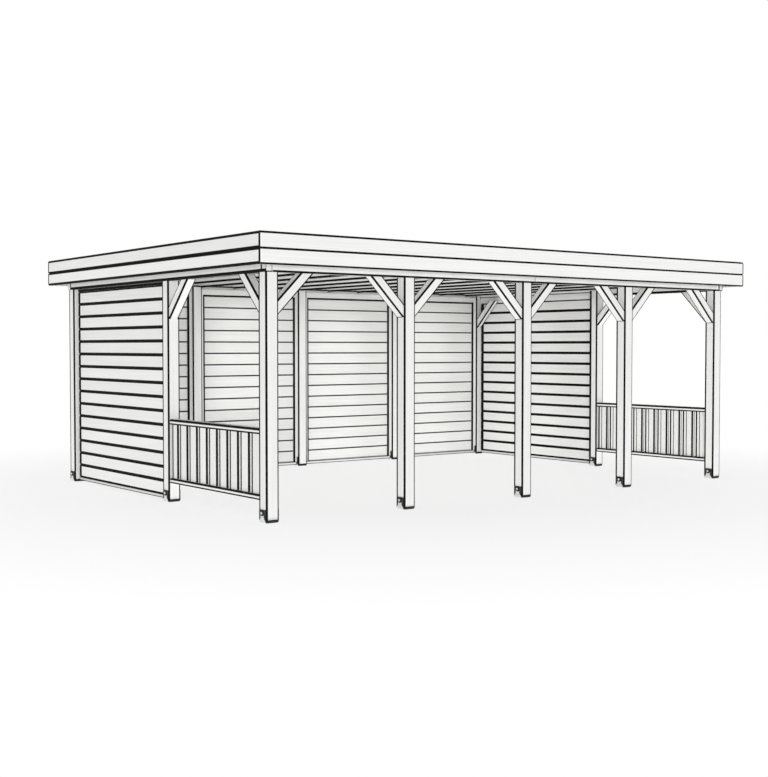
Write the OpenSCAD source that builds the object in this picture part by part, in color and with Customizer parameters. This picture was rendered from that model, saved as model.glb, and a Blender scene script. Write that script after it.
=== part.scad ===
// Free-standing timber patio cover. Twelve square posts on steel shoes, in four bays by two, carry
// a ring of beams with knee braces and a flat roof behind a two-board fascia. The front is open,
// the front bays of both sides have slatted balustrades, and the other bays have boarded panels.
// Millimetres, +Z up, origin on the ground at the middle of the roof's plan, front towards -Y.

/* [Plan] */
// Spacing of the posts along the front and the back
bay_pitch = 1428; // [1100:1:1800]
// Depth between the outer faces of the front and back posts
frame_depth = 4050; // [3700:1:4600]
// Front face of a side's middle post, from the outer face of the front posts
middle_post_y = 1736; // [1400:1:2000]
// Reach of the roof beyond the outer faces of the posts
roof_overhang = 165; // [120:1:240]

/* [Posts and shoes] */
// Side of a square post
post_w = 120; // [110:1:140]
// Height from the ground to the underside of the beams
head_h = 2058; // [1950:1:2400]
// Height of a shoe's side straps above the ground
shoe_h = 110; // [70:1:140]
// Width of a shoe's strap
shoe_w = 95; // [60:1:105]
// Thickness of a shoe's side straps
shoe_strap_t = 6; // [4:1:10]
// Thickness of a shoe's base under the post
shoe_base_t = 20; // [16:1:30]
// Radius of the two bends under a shoe
shoe_bend_r = 18; // [8:1:22]

/* [Beams and braces] */
// Thickness of the beams
beam_t = 68; // [50:1:80]
// Height of the front and back beams
beam_h = 95; // [80:1:130]
// How far the right beam stands out past the right posts
right_beam_proud = 20; // [0:1:30]
// How far the back beam stands out past the back posts
back_beam_proud = 36; // [0:1:40]
// Reach of a beam's half-lap joint past each side of the middle post
lap_reach = 41; // [20:1:80]
// Length that a brace's lower edge takes along the post, and along the beam
brace_leg = 354; // [280:1:450]
// Depth of a brace, square to its length
brace_d = 90; // [60:1:110]
// Thickness of a brace
brace_t = 95; // [45:1:110]

/* [Wall panels] */
// Height of the panels' sills above the ground
sill_z = 16; // [5:1:40]
// Height of a panel's sill
sill_h = 35; // [25:1:60]
// Height of a panel's top rail below the underside of the beams
top_rail_h = 26; // [20:1:60]
// How far the back panels' top rails stand up in front of the back beam
top_rail_rise = 49; // [20:1:60]
// Number of boards in a panel
board_count = 15; // [10:1:20]
// Thickness of the boards
board_t = 18; // [14:1:24]
// Width of the V joint between two boards
joint_w = 22; // [6:1:28]
// Depth of the V joint between two boards
joint_d = 7; // [3:1:9]
// Width of a panel's stiles
stile_w = 50; // [35:1:70]
// Depth of the panels' frames behind their boards
frame_d = 16; // [10:1:25]
// Recess of the back and left panels' boards behind the outer faces of the posts
board_recess = 55; // [30:1:65]
// Recess of the right panel's boards behind the outer faces of the posts
right_board_recess = 35; // [34:1:60]
// Gap between the right panel's boards and the brace in front of them
brace_gap = 5; // [1:1:15]

/* [Balustrades] */
// Height of the underside of the bottom rail
bottom_rail_z = 179; // [100:1:250]
// Height of the bottom rail
bottom_rail_h = 47; // [35:1:70]
// Height of the top of the handrail
handrail_top = 775; // [650:1:1000]
// Height of the handrail
handrail_h = 50; // [35:1:70]
// Thickness of both rails
rail_t = 90; // [60:1:110]
// Gap between two slats
slat_gap = 42; // [15:1:60]
// Width of a slat
slat_w = 141; // [60:1:160]
// Thickness of a slat
slat_t = 46; // [15:1:55]

/* [Roof] */
// Thickness of a rafter
rafter_t = 45; // [35:1:60]
// Height of a rafter
rafter_h = 145; // [120:1:180]
// Spacing of the rafters, set out from the middle of the roof
rafter_pitch = 447; // [350:1:600]
// Depth of the notch that seats a rafter on a beam
rafter_notch = 25; // [15:1:60]
// Thickness of the roof deck
deck_t = 18; // [15:1:28]
// Thickness of the roof covering
covering_t = 5; // [3:1:10]
// How far the fascia hangs below the rafters
fascia_drop = 22; // [0:1:40]
// Height of the lower fascia board
lower_fascia_h = 130; // [100:1:160]
// Height of the upper fascia board
upper_fascia_h = 138; // [130:1:180]
// Thickness of the fascia boards
fascia_t = 28; // [18:1:36]
// Height of the open joint between the two fascia boards
fascia_joint_h = 6; // [3:1:10]
// Depth of the open joint between the two fascia boards
fascia_joint_d = 8; // [3:1:12]

/* [Hidden] */
// Overrun of cutting shapes
overrun = 1;
// Gap left round a shoe's strap where a panel is cut out for it
fit_gap = 0.3;
bay_count = 4;
frame_length = bay_count * bay_pitch + post_w;

// Outer faces of the post frame
left_x = -frame_length / 2;
right_x = frame_length / 2;
front_y = -frame_depth / 2;
back_y = frame_depth / 2;
middle_y = front_y + middle_post_y;
back_post_y = back_y - post_w;

// Beam places and the joint over the middle post of the front and the back
left_beam_in = left_x + beam_t;
right_beam_out = right_x + right_beam_proud;
right_beam_in = right_beam_out - beam_t;
front_beam_in = front_y + beam_t;
back_beam_out = back_y + back_beam_proud;
back_beam_in = back_beam_out - beam_t;
middle_post_x = left_x + bay_count / 2 * bay_pitch;
lap_left = middle_post_x - lap_reach;
lap_right = middle_post_x + post_w + lap_reach;
beam_top = head_h + beam_h;

// Roof levels and edges
rafter_z = beam_top - rafter_notch;
rafter_top = rafter_z + rafter_h;
rafter_side_count = floor((-left_beam_in - rafter_t / 2) / rafter_pitch);
deck_top = rafter_top + deck_t;
roof_left = left_x - roof_overhang;
roof_right = right_x + roof_overhang;
roof_front = front_y - roof_overhang;
roof_back = back_y + roof_overhang;
roof_length = roof_right - roof_left;
roof_depth = roof_back - roof_front;
fascia_z = rafter_z - fascia_drop;
fascia_h = lower_fascia_h + upper_fascia_h;

// Panel levels: boards stand between the sill and the top rail
sill_top = sill_z + sill_h;
board_top = head_h - top_rail_h;
board_pitch = (board_top - sill_top) / board_count;
back_bay_y = middle_y + post_w;
side_panel_length = back_post_y - back_bay_y;
bay_clear = bay_pitch - post_w;
back_board_y = back_y - board_recess;
left_board_x = left_x + board_recess;
right_board_x = right_x - right_board_recess;
back_rail_top = head_h + top_rail_rise;
brace_inset = (post_w - brace_t) / 2;

// Balustrade bay between a front corner post and the middle post
rail_bay_y = front_y + post_w;
rail_length = middle_y - rail_bay_y;
slat_pitch = slat_w + slat_gap;
slat_count = ceil((rail_length - slat_gap) / slat_pitch);
left_slat_start = slat_gap;
right_slat_start = rail_length + slat_gap - slat_count * slat_pitch;

timber = "whitesmoke";
trim = "white";
steel = "dimgray";
felt = "darkslategray";

// Left face of post i of a row
function post_x(i) = left_x + i * bay_pitch;

// A post with its lower left front corner at x, y, standing on the base of its shoe. It carries the
// beams on its head, and the rest of it runs up inside the ring of beams to the rafters
module post(x, y) {
  color(timber) {
    translate([x, y, shoe_base_t]) cube([post_w, post_w, head_h - shoe_base_t]);
    intersection() {
      translate([x, y, shoe_base_t]) cube([post_w, post_w, rafter_z - shoe_base_t]);
      translate([left_beam_in, front_beam_in, shoe_base_t])
        cube([right_beam_in - left_beam_in, back_beam_in - front_beam_in, rafter_z]);
    }
  }
}

// Steel shoe under the post at x, y: a bent strap that holds the post from both sides
module shoe(x, y) {
  color(steel)
    translate([x + post_w / 2, y + (post_w + shoe_w) / 2, 0])
      rotate([90, 0, 0])
        linear_extrude(height = shoe_w)
          shoe_profile();
}

module shoe_profile() {
  half_w = post_w / 2 + shoe_strap_t;
  difference() {
    union() {
      translate([-half_w, shoe_bend_r]) square([2 * half_w, shoe_h - shoe_bend_r]);
      translate([-half_w + shoe_bend_r, 0]) square([2 * (half_w - shoe_bend_r), shoe_bend_r]);
      for (side = [-1, 1])
        translate([side * (half_w - shoe_bend_r), shoe_bend_r]) circle(r = shoe_bend_r, $fn = 48);
    }
    translate([-post_w / 2, shoe_base_t]) square([post_w, shoe_h]);
  }
}

module front_shoes() {
  for (i = [0 : bay_count]) shoe(post_x(i), front_y);
}

module back_shoes() {
  for (i = [0 : bay_count]) shoe(post_x(i), back_post_y);
}

module middle_shoes() {
  shoe(left_x, middle_y);
  shoe(right_x - post_w, middle_y);
}

// Left half of a two-piece beam, from x_end to the half-lap over the middle post
module lapped_beam_left(x_end, y) {
  color(timber) {
    translate([x_end, y, head_h]) cube([lap_left - x_end, beam_t, beam_h]);
    translate([x_end, y, head_h]) cube([lap_right - x_end, beam_t / 2, beam_h]);
  }
}

// Right half, whose tongue lies behind the left half's
module lapped_beam_right(x_end, y) {
  color(timber) {
    translate([lap_right, y, head_h]) cube([x_end - lap_right, beam_t, beam_h]);
    translate([lap_left, y + beam_t / 2, head_h]) cube([x_end - lap_left, beam_t / 2, beam_h]);
  }
}

// Side beams run through to the front and stop at the back beam, and carry the deck
module side_beam(x) {
  color(timber)
    translate([x, front_y, head_h])
      cube([beam_t, back_beam_in - front_y, rafter_top - head_h]);
}

// Outline of a 45 degree brace in the corner between a post's face and the beam above it
module brace_profile() {
  cut = brace_d * sqrt(2);
  polygon([[0, -brace_leg], [0, cut - brace_leg], [brace_leg - cut, 0], [brace_leg, 0]]);
}

// Brace along the front from the post face at x, towards the given side
module front_brace(x, side) {
  color(timber)
    translate([x, front_y + brace_inset + brace_t, head_h])
      rotate([90, 0, 0])
        linear_extrude(height = brace_t)
          scale([side, 1]) brace_profile();
}

// Brace along a side wall from the post face at y, towards the given side, its left face at x
module side_brace(x, y, side, thickness) {
  color(timber)
    translate([x, y, head_h])
      rotate([90, 0, 90])
        linear_extrude(height = thickness)
          scale([side, 1]) brace_profile();
}

module front_braces() {
  for (i = [0 : bay_count - 1]) {
    front_brace(post_x(i) + post_w, 1);
    front_brace(post_x(i + 1), -1);
  }
}

module left_braces() {
  x = left_x + brace_inset;
  side_brace(x, front_y + post_w, 1, brace_t);
  side_brace(x, middle_y, -1, brace_t);
}

// The brace in the boarded bay is planed down so that the boards pass behind it
module right_braces() {
  x = right_x - post_w + brace_inset;
  side_brace(x, front_y + post_w, 1, brace_t);
  side_brace(x, middle_y, -1, brace_t);
  side_brace(x, back_post_y, -1, right_board_x - brace_gap - x);
}

// Panels are made lying along x, with the jointed face of the boards at y = 0 and the frame behind
// it, and are then set between two back posts or along a side
module at_back_panel(i) {
  translate([post_x(i) + post_w, back_board_y, 0]) mirror([0, 1, 0]) children();
}

module at_side_panel(x) {
  translate([x, back_bay_y, 0]) mirror([1, -1, 0]) children();
}

// Cuts a back panel's foot clear of the shoe straps on the two posts beside it
module notched_for_straps() {
  notch_l = shoe_strap_t + fit_gap;
  notch_w = shoe_w + 2 * fit_gap;
  difference() {
    children();
    for (x = [-overrun, bay_clear - notch_l])
      translate([x, (post_w - notch_w) / 2 - board_recess, 0])
        cube([notch_l + overrun, notch_w, shoe_h + fit_gap]);
  }
}

// Section of the boards, with a V joint between every two
module board_profile() {
  joints = [
    for (i = [1 : board_count - 1])
      for (step = [-1, 0, 1])
        [step == 0 ? joint_d : 0, sill_top + i * board_pitch + step * joint_w / 2]
  ];
  polygon(concat(
    [[0, sill_top]], joints, [[0, board_top], [board_t, board_top], [board_t, sill_top]]
  ));
}

module boards(length) {
  color(trim)
    rotate([90, 0, 90])
      linear_extrude(height = length)
        board_profile();
}

// Height to which the mitres of a top rail climb at its ends, below its upper edge
function mitre_top(rail_top) = board_top + min(stile_w, (rail_top - board_top) / 2);

// Uprights behind the boards, mitred into the top rail
module stile_pair(length, rail_top) {
  color(timber)
    translate([0, board_t + frame_d, 0])
      rotate([90, 0, 0])
        linear_extrude(height = frame_d) {
          stile_profile(rail_top);
          translate([length, 0]) mirror([1, 0]) stile_profile(rail_top);
        }
}

module stile_profile(rail_top) {
  polygon([[0, sill_top], [stile_w, sill_top], [stile_w, board_top], [0, mitre_top(rail_top)]]);
}

module sill(length) {
  color(timber) translate([0, 0, sill_z]) cube([length, board_t + frame_d, sill_h]);
}

// Rail over the boards, mitred down to the uprights behind them
module top_rail(length, rail_top) {
  mitre_z = mitre_top(rail_top);
  color(timber) {
    translate([0, 0, board_top]) cube([length, board_t, rail_top - board_top]);
    translate([0, board_t + frame_d, 0])
      rotate([90, 0, 0])
        linear_extrude(height = frame_d)
          polygon([
            [0, mitre_z], [stile_w, board_top], [length - stile_w, board_top], [length, mitre_z],
            [length, rail_top], [0, rail_top]
          ]);
  }
}

module back_boards(i) {
  at_back_panel(i) notched_for_straps() boards(bay_clear);
}

module back_stiles() {
  for (i = [0 : bay_count - 1])
    at_back_panel(i) notched_for_straps() stile_pair(bay_clear, back_rail_top);
}

module side_stiles() {
  for (x = [left_board_x, right_board_x]) at_side_panel(x) stile_pair(side_panel_length, head_h);
}

module sills() {
  for (i = [0 : bay_count - 1]) at_back_panel(i) notched_for_straps() sill(bay_clear);
  for (x = [left_board_x, right_board_x]) at_side_panel(x) sill(side_panel_length);
}

module top_rails() {
  for (i = [0 : bay_count - 1]) at_back_panel(i) top_rail(bay_clear, back_rail_top);
  for (x = [left_board_x, right_board_x]) at_side_panel(x) top_rail(side_panel_length, head_h);
}

// Two rails with slats between them, centred on the posts. The slats are set out from slat_start, and
// one that would run past the end of the rails is ripped narrower
module balustrade(x, slat_start) {
  color(trim)
    translate([x, rail_bay_y, 0]) {
      for (z_range = [[bottom_rail_z, bottom_rail_h], [handrail_top - handrail_h, handrail_h]])
        translate([(post_w - rail_t) / 2, 0, z_range[0]]) cube([rail_t, rail_length, z_range[1]]);
      for (i = [0 : slat_count - 1]) {
        near = max(slat_start + i * slat_pitch, 0);
        far = min(slat_start + i * slat_pitch + slat_w, rail_length);
        translate([(post_w - slat_t) / 2, near, bottom_rail_z])
          cube([slat_t, far - near, handrail_top - handrail_h - bottom_rail_z]);
      }
    }
}

// Side view of a rafter, notched over the front and the back beam
module rafter_profile() {
  polygon([
    [roof_front + fascia_t, rafter_z], [front_y, rafter_z], [front_y, beam_top],
    [front_beam_in, beam_top], [front_beam_in, rafter_z], [back_beam_in, rafter_z],
    [back_beam_in, beam_top], [back_beam_out, beam_top], [back_beam_out, rafter_z],
    [roof_back - fascia_t, rafter_z], [roof_back - fascia_t, rafter_top],
    [roof_front + fascia_t, rafter_top]
  ]);
}

module rafters() {
  color(timber)
    for (i = [-rafter_side_count : rafter_side_count])
      translate([i * rafter_pitch - rafter_t / 2, 0, 0])
        rotate([90, 0, 90])
          linear_extrude(height = rafter_t)
            rafter_profile();
}

// Joists behind the side fascias
module verge_joists() {
  color(timber)
    for (x = [roof_left + fascia_t, roof_right - fascia_t - rafter_t])
      translate([x, roof_front + fascia_t, rafter_z])
        cube([rafter_t, roof_depth - 2 * fascia_t, rafter_h]);
}

module roof_sheet(z, thickness) {
  translate([roof_left + fascia_t, roof_front + fascia_t, z])
    cube([roof_length - 2 * fascia_t, roof_depth - 2 * fascia_t, thickness]);
}

module roof_deck() {
  color("burlywood") roof_sheet(rafter_top, deck_t);
}

module roof_covering() {
  color(felt) roof_sheet(deck_top, covering_t);
}

// Fascia of the given length, mitred at both ends, its outer face at y = 0 and facing -Y
module fascia(length) {
  color(trim)
    difference() {
      linear_extrude(height = fascia_h) mitred_plan(length, 0, fascia_t);
      translate([0, 0, lower_fascia_h - fascia_joint_h / 2])
        linear_extrude(height = fascia_joint_h) mitred_plan(length, -overrun, fascia_joint_d);
    }
}

// Plan of a mitred strip between two depths behind the outer face
module mitred_plan(length, near, far) {
  half = length / 2;
  polygon([[near - half, near], [half - near, near], [half - far, far], [far - half, far]]);
}

module front_fascia() {
  translate([0, roof_front, fascia_z]) fascia(roof_length);
}

module back_fascia() {
  translate([0, roof_back, fascia_z]) rotate([0, 0, 180]) fascia(roof_length);
}

module left_fascia() {
  translate([roof_left, 0, fascia_z]) rotate([0, 0, -90]) fascia(roof_depth);
}

module right_fascia() {
  translate([roof_right, 0, fascia_z]) rotate([0, 0, 90]) fascia(roof_depth);
}

post(post_x(0), front_y);  // front_post_1
post(post_x(1), front_y);  // front_post_2
post(post_x(2), front_y);  // front_post_3
post(post_x(3), front_y);  // front_post_4
post(post_x(4), front_y);  // front_post_5
post(post_x(0), back_post_y);  // back_post_1
post(post_x(1), back_post_y);  // back_post_2
post(post_x(2), back_post_y);  // back_post_3
post(post_x(3), back_post_y);  // back_post_4
post(post_x(4), back_post_y);  // back_post_5
post(left_x, middle_y);  // left_middle_post
post(right_x - post_w, middle_y);  // right_middle_post
front_shoes();
back_shoes();
middle_shoes();
lapped_beam_left(left_beam_in, front_y);  // front_beam_left
lapped_beam_right(right_beam_in, front_y);  // front_beam_right
lapped_beam_left(left_x, back_beam_in);  // back_beam_left
lapped_beam_right(right_beam_out, back_beam_in);  // back_beam_right
side_beam(left_x);  // left_beam
side_beam(right_beam_in);  // right_beam
front_braces();
left_braces();
right_braces();
back_boards(0);  // back_boards_1
back_boards(1);  // back_boards_2
back_boards(2);  // back_boards_3
back_boards(3);  // back_boards_4
at_side_panel(left_board_x) boards(side_panel_length);  // left_boards
at_side_panel(right_board_x) boards(side_panel_length);  // right_boards
back_stiles();
side_stiles();
sills();
top_rails();
balustrade(left_x, left_slat_start);  // left_balustrade
balustrade(right_x - post_w, right_slat_start);  // right_balustrade
rafters();
verge_joists();
roof_deck();
roof_covering();
front_fascia();
back_fascia();
left_fascia();
right_fascia();
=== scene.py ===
"""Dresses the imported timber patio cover.

White painted timbers with dark stained arrises stand on zinc shoes under a felt roof. Every piece is
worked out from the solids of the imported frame, in metres, with +Z up and the open front towards -Y.
"""

import math
import random

import bmesh
import bpy
from bpy.props import FloatProperty, FloatVectorProperty, IntProperty, PointerProperty
from bpy.types import Operator, Panel, PropertyGroup
from mathutils import Euler, Matrix, Vector


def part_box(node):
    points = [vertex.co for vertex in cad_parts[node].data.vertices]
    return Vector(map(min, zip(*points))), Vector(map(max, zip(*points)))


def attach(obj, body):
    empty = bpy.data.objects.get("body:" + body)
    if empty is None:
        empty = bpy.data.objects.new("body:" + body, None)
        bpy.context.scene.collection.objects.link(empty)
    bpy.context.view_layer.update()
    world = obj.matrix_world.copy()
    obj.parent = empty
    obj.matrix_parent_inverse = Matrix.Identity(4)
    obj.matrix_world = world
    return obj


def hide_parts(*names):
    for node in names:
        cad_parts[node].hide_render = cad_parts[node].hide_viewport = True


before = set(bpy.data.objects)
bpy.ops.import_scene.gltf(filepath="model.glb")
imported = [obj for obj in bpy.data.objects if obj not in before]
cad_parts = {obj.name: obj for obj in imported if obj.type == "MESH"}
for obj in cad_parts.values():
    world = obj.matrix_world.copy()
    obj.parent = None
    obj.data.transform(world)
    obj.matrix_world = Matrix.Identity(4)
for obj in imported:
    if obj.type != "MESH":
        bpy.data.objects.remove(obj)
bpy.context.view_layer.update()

bl_info = {
    "name": "Painted patio cover",
    "version": (1, 0, 0),
    "blender": (4, 5, 0),
    "location": "View3D > Sidebar > Patio cover",
    "description": "Builds the painted timbers, zinc shoes, felt roof and stage of a patio cover",
    "category": "Object",
}

MM = 0.001
# Places that are closer than this count as one
NEAR = 1 * MM
RIGHT, BACK, UP = Vector((1, 0, 0)), Vector((0, 1, 0)), Vector((0, 0, 1))

# Material slots of a timber: its painted faces and its dark eased edges
FACE, ARRIS = 0, 1
# Material slots of a shoe: its zinc skin and its sealed cut edges
ZINC, SEALED = 0, 1
# Material slot of a coach screw's zinc head, after its black washer
HEAD = 1
# Sockets of a colour mix: its two colours and its result
FIRST, SECOND, MIXED = 6, 7, 2

FRONT_POSTS = [f"front_post_{i}" for i in range(1, 6)]
BACK_POSTS = [f"back_post_{i}" for i in range(1, 6)]
MIDDLE_POSTS = ["left_middle_post", "right_middle_post"]
BACK_BOARDS = [f"back_boards_{i}" for i in range(1, 5)]
SIDE_BOARDS = ["left_boards", "right_boards"]


def linear(code):
    """Linear colour of an sRGB hex code such as #F4F4F1."""
    channels = [int(code[i : i + 2], 16) / 255 for i in (1, 3, 5)]
    return [c / 12.92 if c <= 0.04045 else ((c + 0.055) / 1.055) ** 2.4 for c in channels]


def size_mm(name, description, size):
    """A length setting with its default in millimetres."""
    return FloatProperty(name=name, description=description, default=size * MM, unit="LENGTH")


def hex_colour(name, description, code):
    """A colour setting with its default as an sRGB hex code."""
    return FloatVectorProperty(name=name, description=description, default=linear(code), subtype="COLOR")


class TimberSettings(PropertyGroup):
    """Edges and sections that the frame leaves plain. Long timbers lie along the front and the back."""

    rim: size_mm("Rim", "Width of the dark top edges of the long fascias and the handrails", 20)
    side_rim: size_mm("Side rim", "Width of the dark edges on side fascias and under side beams", 27)
    stile_line: size_mm("Stile line", "Width of the dark line at the stiles' inner edges", 22)
    post_line: size_mm("Post line", "Width of the dark line at the back of posts' left faces", 24)
    wall_line: size_mm("Wall line", "Width of that line on the post where the right wall starts", 38)
    heavy_arris: size_mm("Heavy arris", "Width of the dark edges of the long beams and bottom rails", 17)
    arris: size_mm("Arris", "Width of the dark edges of posts, braces, panel frames, slats and rails", 14)
    fine_arris: size_mm("Fine arris", "Width of the thin dark lines at joints and scores", 5)
    sill_arris: size_mm("Sill arris", "Width of the dark edges round the sills", 7.5)
    rafter_arris: size_mm("Rafter arris", "Width of the dark lower edges of the rafters", 20)
    sealed_end: size_mm("Sealed end", "Length of the dark sealer on the back boards' ends", 32)
    side_sealed_end: size_mm("Side sealed end", "Length of the dark sealer on the side boards' ends", 54)
    sealed_foot: size_mm("Sealed foot", "Height of the dark sealer on the feet of the posts", 7)
    joint_width: size_mm("V joint width", "Width of the V joint between two wall boards", 32)
    joint_depth: size_mm("V joint depth", "Depth of the V joint between two wall boards", 7)
    inner_chamfer: size_mm("Inner chamfer", "Chamfer of the wall boards on the framed side", 8)
    tongue: size_mm("Tongue", "Height of the tongue on a wall board", 6)
    board_count: IntProperty(name="Boards", description="Number of boards in a wall panel", default=15)
    corner_block: size_mm("Corner block", "Length of the corner joint on the side beams", 70)
    slat_width: size_mm("Slat width", "Width of a balustrade slat", 141)
    slat_gap: size_mm("Slat gap", "Gap between two balustrade slats", 42)
    slat_thickness: size_mm("Slat thickness", "Thickness of a balustrade slat", 46)
    slat_score: size_mm("Slat score", "Place of the inner scored line, from a slat's back edge", 58)
    slat_back: size_mm("Slat back", "Width of the dark sealer along the slats' back edges", 26)
    handrail_height: size_mm("Handrail height", "Height of the handrail", 50)
    bottom_rail_height: size_mm("Bottom rail height", "Height of the bottom rail", 47)
    fascia_lower: size_mm("Lower fascia", "Height of the lower fascia board to mid-joint", 130)
    fascia_joint: size_mm("Fascia joint", "Open joint between the two fascia boards", 5)
    fascia_tongue: size_mm("Fascia tongue", "Depth of the tongue behind the fascia's joint", 8)
    fascia_seam: size_mm("Fascia seam", "Width of the dark edges at the long fascias' joint", 6.5)
    side_seam: size_mm("Side fascia seam", "Width of the dark edges at the side fascias' joint", 15)
    fascia_foot: size_mm("Fascia foot", "Width of the long fascias' dark lower edge", 15)
    side_fascia_foot: size_mm("Side fascia foot", "Width of the side fascias' dark lower edge", 23)
    fascia_corner: size_mm("Fascia corner", "Width of the dark sealer at the long fascias' ends", 15)
    side_fascia_corner: size_mm("Side fascia corner", "Width of that sealer at the sides' back ends", 24)
    beam_score: size_mm("Beam score", "Height of the line over the right beam's underside", 52)
    deck_board: size_mm("Deck board", "Width of a roof board", 121)


class FinishSettings(PropertyGroup):
    """Colours of the paints, metals and felt."""

    frame_white: hex_colour("Frame white", "Paint of the frame and the roof timbers", "#F4F4F2")
    board_white: hex_colour("Board white", "Paint of the wall boards and balustrades", "#F5F5F3")
    fascia_white: hex_colour("Fascia white", "Paint of the fascia boards", "#F7F7F5")
    arris_stain: hex_colour("Arris stain", "Dark stain of the eased edges", "#0C0C0C")
    rubbed_stain: hex_colour("Rubbed stain", "Stain of the eased edges where it is thin", "#262523")
    zinc: hex_colour("Zinc", "Zinc skin of the shoes", "#EDEFF0")
    edge_sealer: hex_colour("Edge sealer", "Primer on the cut edges of the shoes", "#1E1F20")
    bolt_black: hex_colour("Bolt black", "Black oxide of the coach screws", "#26282A")
    felt: hex_colour("Felt", "Mineral granules of the roofing felt", "#6A6F72")
    bitumen: hex_colour("Bitumen", "Bitumen along the laps of the roofing felt", "#1A1B1C")


class StageSettings(PropertyGroup):
    """Floor, light and camera."""

    floor_size: FloatProperty(name="Floor", description="Side of the floor", default=160.0, unit="LENGTH")
    sky_strength: FloatProperty(
        name="Sky", description="Strength of the even light from all round", default=0.5
    )
    key_power: FloatProperty(
        name="Key lamp", description="Strength of the soft lamp behind the camera", default=1.12
    )
    bounce_power: FloatProperty(
        name="Bounce lamp", description="Power of the lamp round the cover", default=1240.0, unit="POWER"
    )
    ceiling_power: FloatProperty(
        name="Ceiling lamp", description="Power of the lamp under the roof", default=57.0, unit="POWER"
    )
    camera_place: FloatVectorProperty(
        name="Place", description="Camera place", default=(-8.138, -10.580, 1.447), subtype="TRANSLATION"
    )
    camera_turn: FloatProperty(
        name="Camera turn",
        description="Turn of the camera to the right, seen from above",
        default=math.radians(36.899),
        subtype="ANGLE",
    )
    camera_dip: FloatProperty(
        name="Camera dip",
        description="Downward tilt of the camera",
        default=math.radians(1.946),
        subtype="ANGLE",
    )
    camera_lens: FloatProperty(
        name="Camera lens", description="Focal length in millimetres", default=56.75, unit="CAMERA"
    )


class PatioCoverSettings(PropertyGroup):
    """All settings of the patio cover."""

    timber: PointerProperty(type=TimberSettings)
    finish: PointerProperty(type=FinishSettings)
    stage: PointerProperty(type=StageSettings)


def settings():
    """The add-on's settings on the open scene."""
    return bpy.context.scene.patio_cover


def fill(node, inputs):
    """Fills a node's inputs with values or links."""
    for key, value in inputs.items():
        if isinstance(value, bpy.types.NodeSocket):
            node.id_data.links.new(value, node.inputs[key])
        else:
            node.inputs[key].default_value = value


def add_node(tree, kind, inputs=None, **options):
    """Adds a shader node, sets its options and fills its inputs with values or links."""
    node = tree.nodes.new(f"ShaderNode{kind}")
    for name, value in options.items():
        setattr(node, name, value)
    fill(node, inputs or {})
    return node


def material(name, build, *colours):
    """The material of a name, which is built the first time that it is asked for."""
    if name not in bpy.data.materials:
        made = bpy.data.materials.new(name)
        made.use_nodes = True
        build(made.node_tree, made.node_tree.nodes["Principled BSDF"], *colours)
    return bpy.data.materials[name]


def rgba(colour, share=1.0):
    """A colour setting as four numbers, dimmed or brightened to a share."""
    return (*[c * share for c in colour], 1.0)


def grain_streaks(tree, length, width, detail, distortion=0.0):
    """A pattern of streaks along the grain, whose length and width are in metres."""
    grain = add_node(tree, "UVMap", uv_map="grain").outputs["UV"]
    stretch = {"Vector": grain, "Scale": (1 / length, 1 / width, 1)}
    place = add_node(tree, "Mapping", stretch).outputs["Vector"]
    shape = {"Vector": place, "Scale": 1.0, "Detail": detail, "Distortion": distortion}
    return add_node(tree, "TexNoise", shape).outputs["Fac"]


def mottled(tree, kind, output, size, colour, shares, **shape):
    """A pattern over the object, of a size in metres, and a colour that follows it between two shares."""
    place = add_node(tree, "TexCoord").outputs["Object"]
    pattern = add_node(tree, kind, {"Vector": place, "Scale": 1 / size, **shape}).outputs[output]
    tones = {0: pattern, FIRST: rgba(colour, shares[0]), SECOND: rgba(colour, shares[1])}
    return pattern, add_node(tree, "Mix", tones, data_type="RGBA").outputs[MIXED]


def painted_spruce(tree, shader, colour):
    """Opaque white paint on planed spruce."""
    # Spruce planed square and brushed with two coats of opaque white paint: a satin film that hides the
    # wood's colour, while the hard summer rings stand up through it as fine lines along the timber and
    # every timber takes the paint a little differently.
    tint_share, dark_share = 0.16, 0.88
    # Summer rings lie 3 to 4 mm apart. They would vanish from where the whole cover is seen, so they are
    # drawn 10 mm apart, in streaks 700 mm long.
    rings = grain_streaks(tree, 700 * MM, 10 * MM, detail=3.0, distortion=0.5)
    # Flames of heartwood are about 45 mm wide and 1.6 m long
    flames = grain_streaks(tree, 1600 * MM, 45 * MM, detail=2.0, distortion=1.2)
    tint = add_node(tree, "Attribute", attribute_name="tint").outputs["Fac"]
    streaks = add_node(tree, "Math", {0: rings, 1: flames}, operation="MULTIPLY").outputs[0]
    tinted = {0: tint, 1: tint_share, 2: streaks}
    tone = add_node(tree, "Math", tinted, operation="MULTIPLY_ADD").outputs[0]
    reach = {"Value": tone, "From Min": 0.18, "From Max": 0.62}
    shade = add_node(tree, "MapRange", reach).outputs["Result"]
    whites = {0: shade, FIRST: rgba(colour), SECOND: rgba(colour, dark_share)}
    film = add_node(tree, "Mix", whites, data_type="RGBA").outputs[MIXED]
    gloss = {"Value": rings, "From Min": 0.3, "From Max": 0.7, "To Min": 0.42, "To Max": 0.62}
    satin = add_node(tree, "MapRange", gloss).outputs["Result"]
    relief = {"Height": rings, "Strength": 0.3, "Distance": 0.6 * MM}
    ridges = add_node(tree, "Bump", relief).outputs["Normal"]
    fill(shader, {"Base Color": film, "Roughness": satin, "Normal": ridges, "IOR": 1.48})


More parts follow.
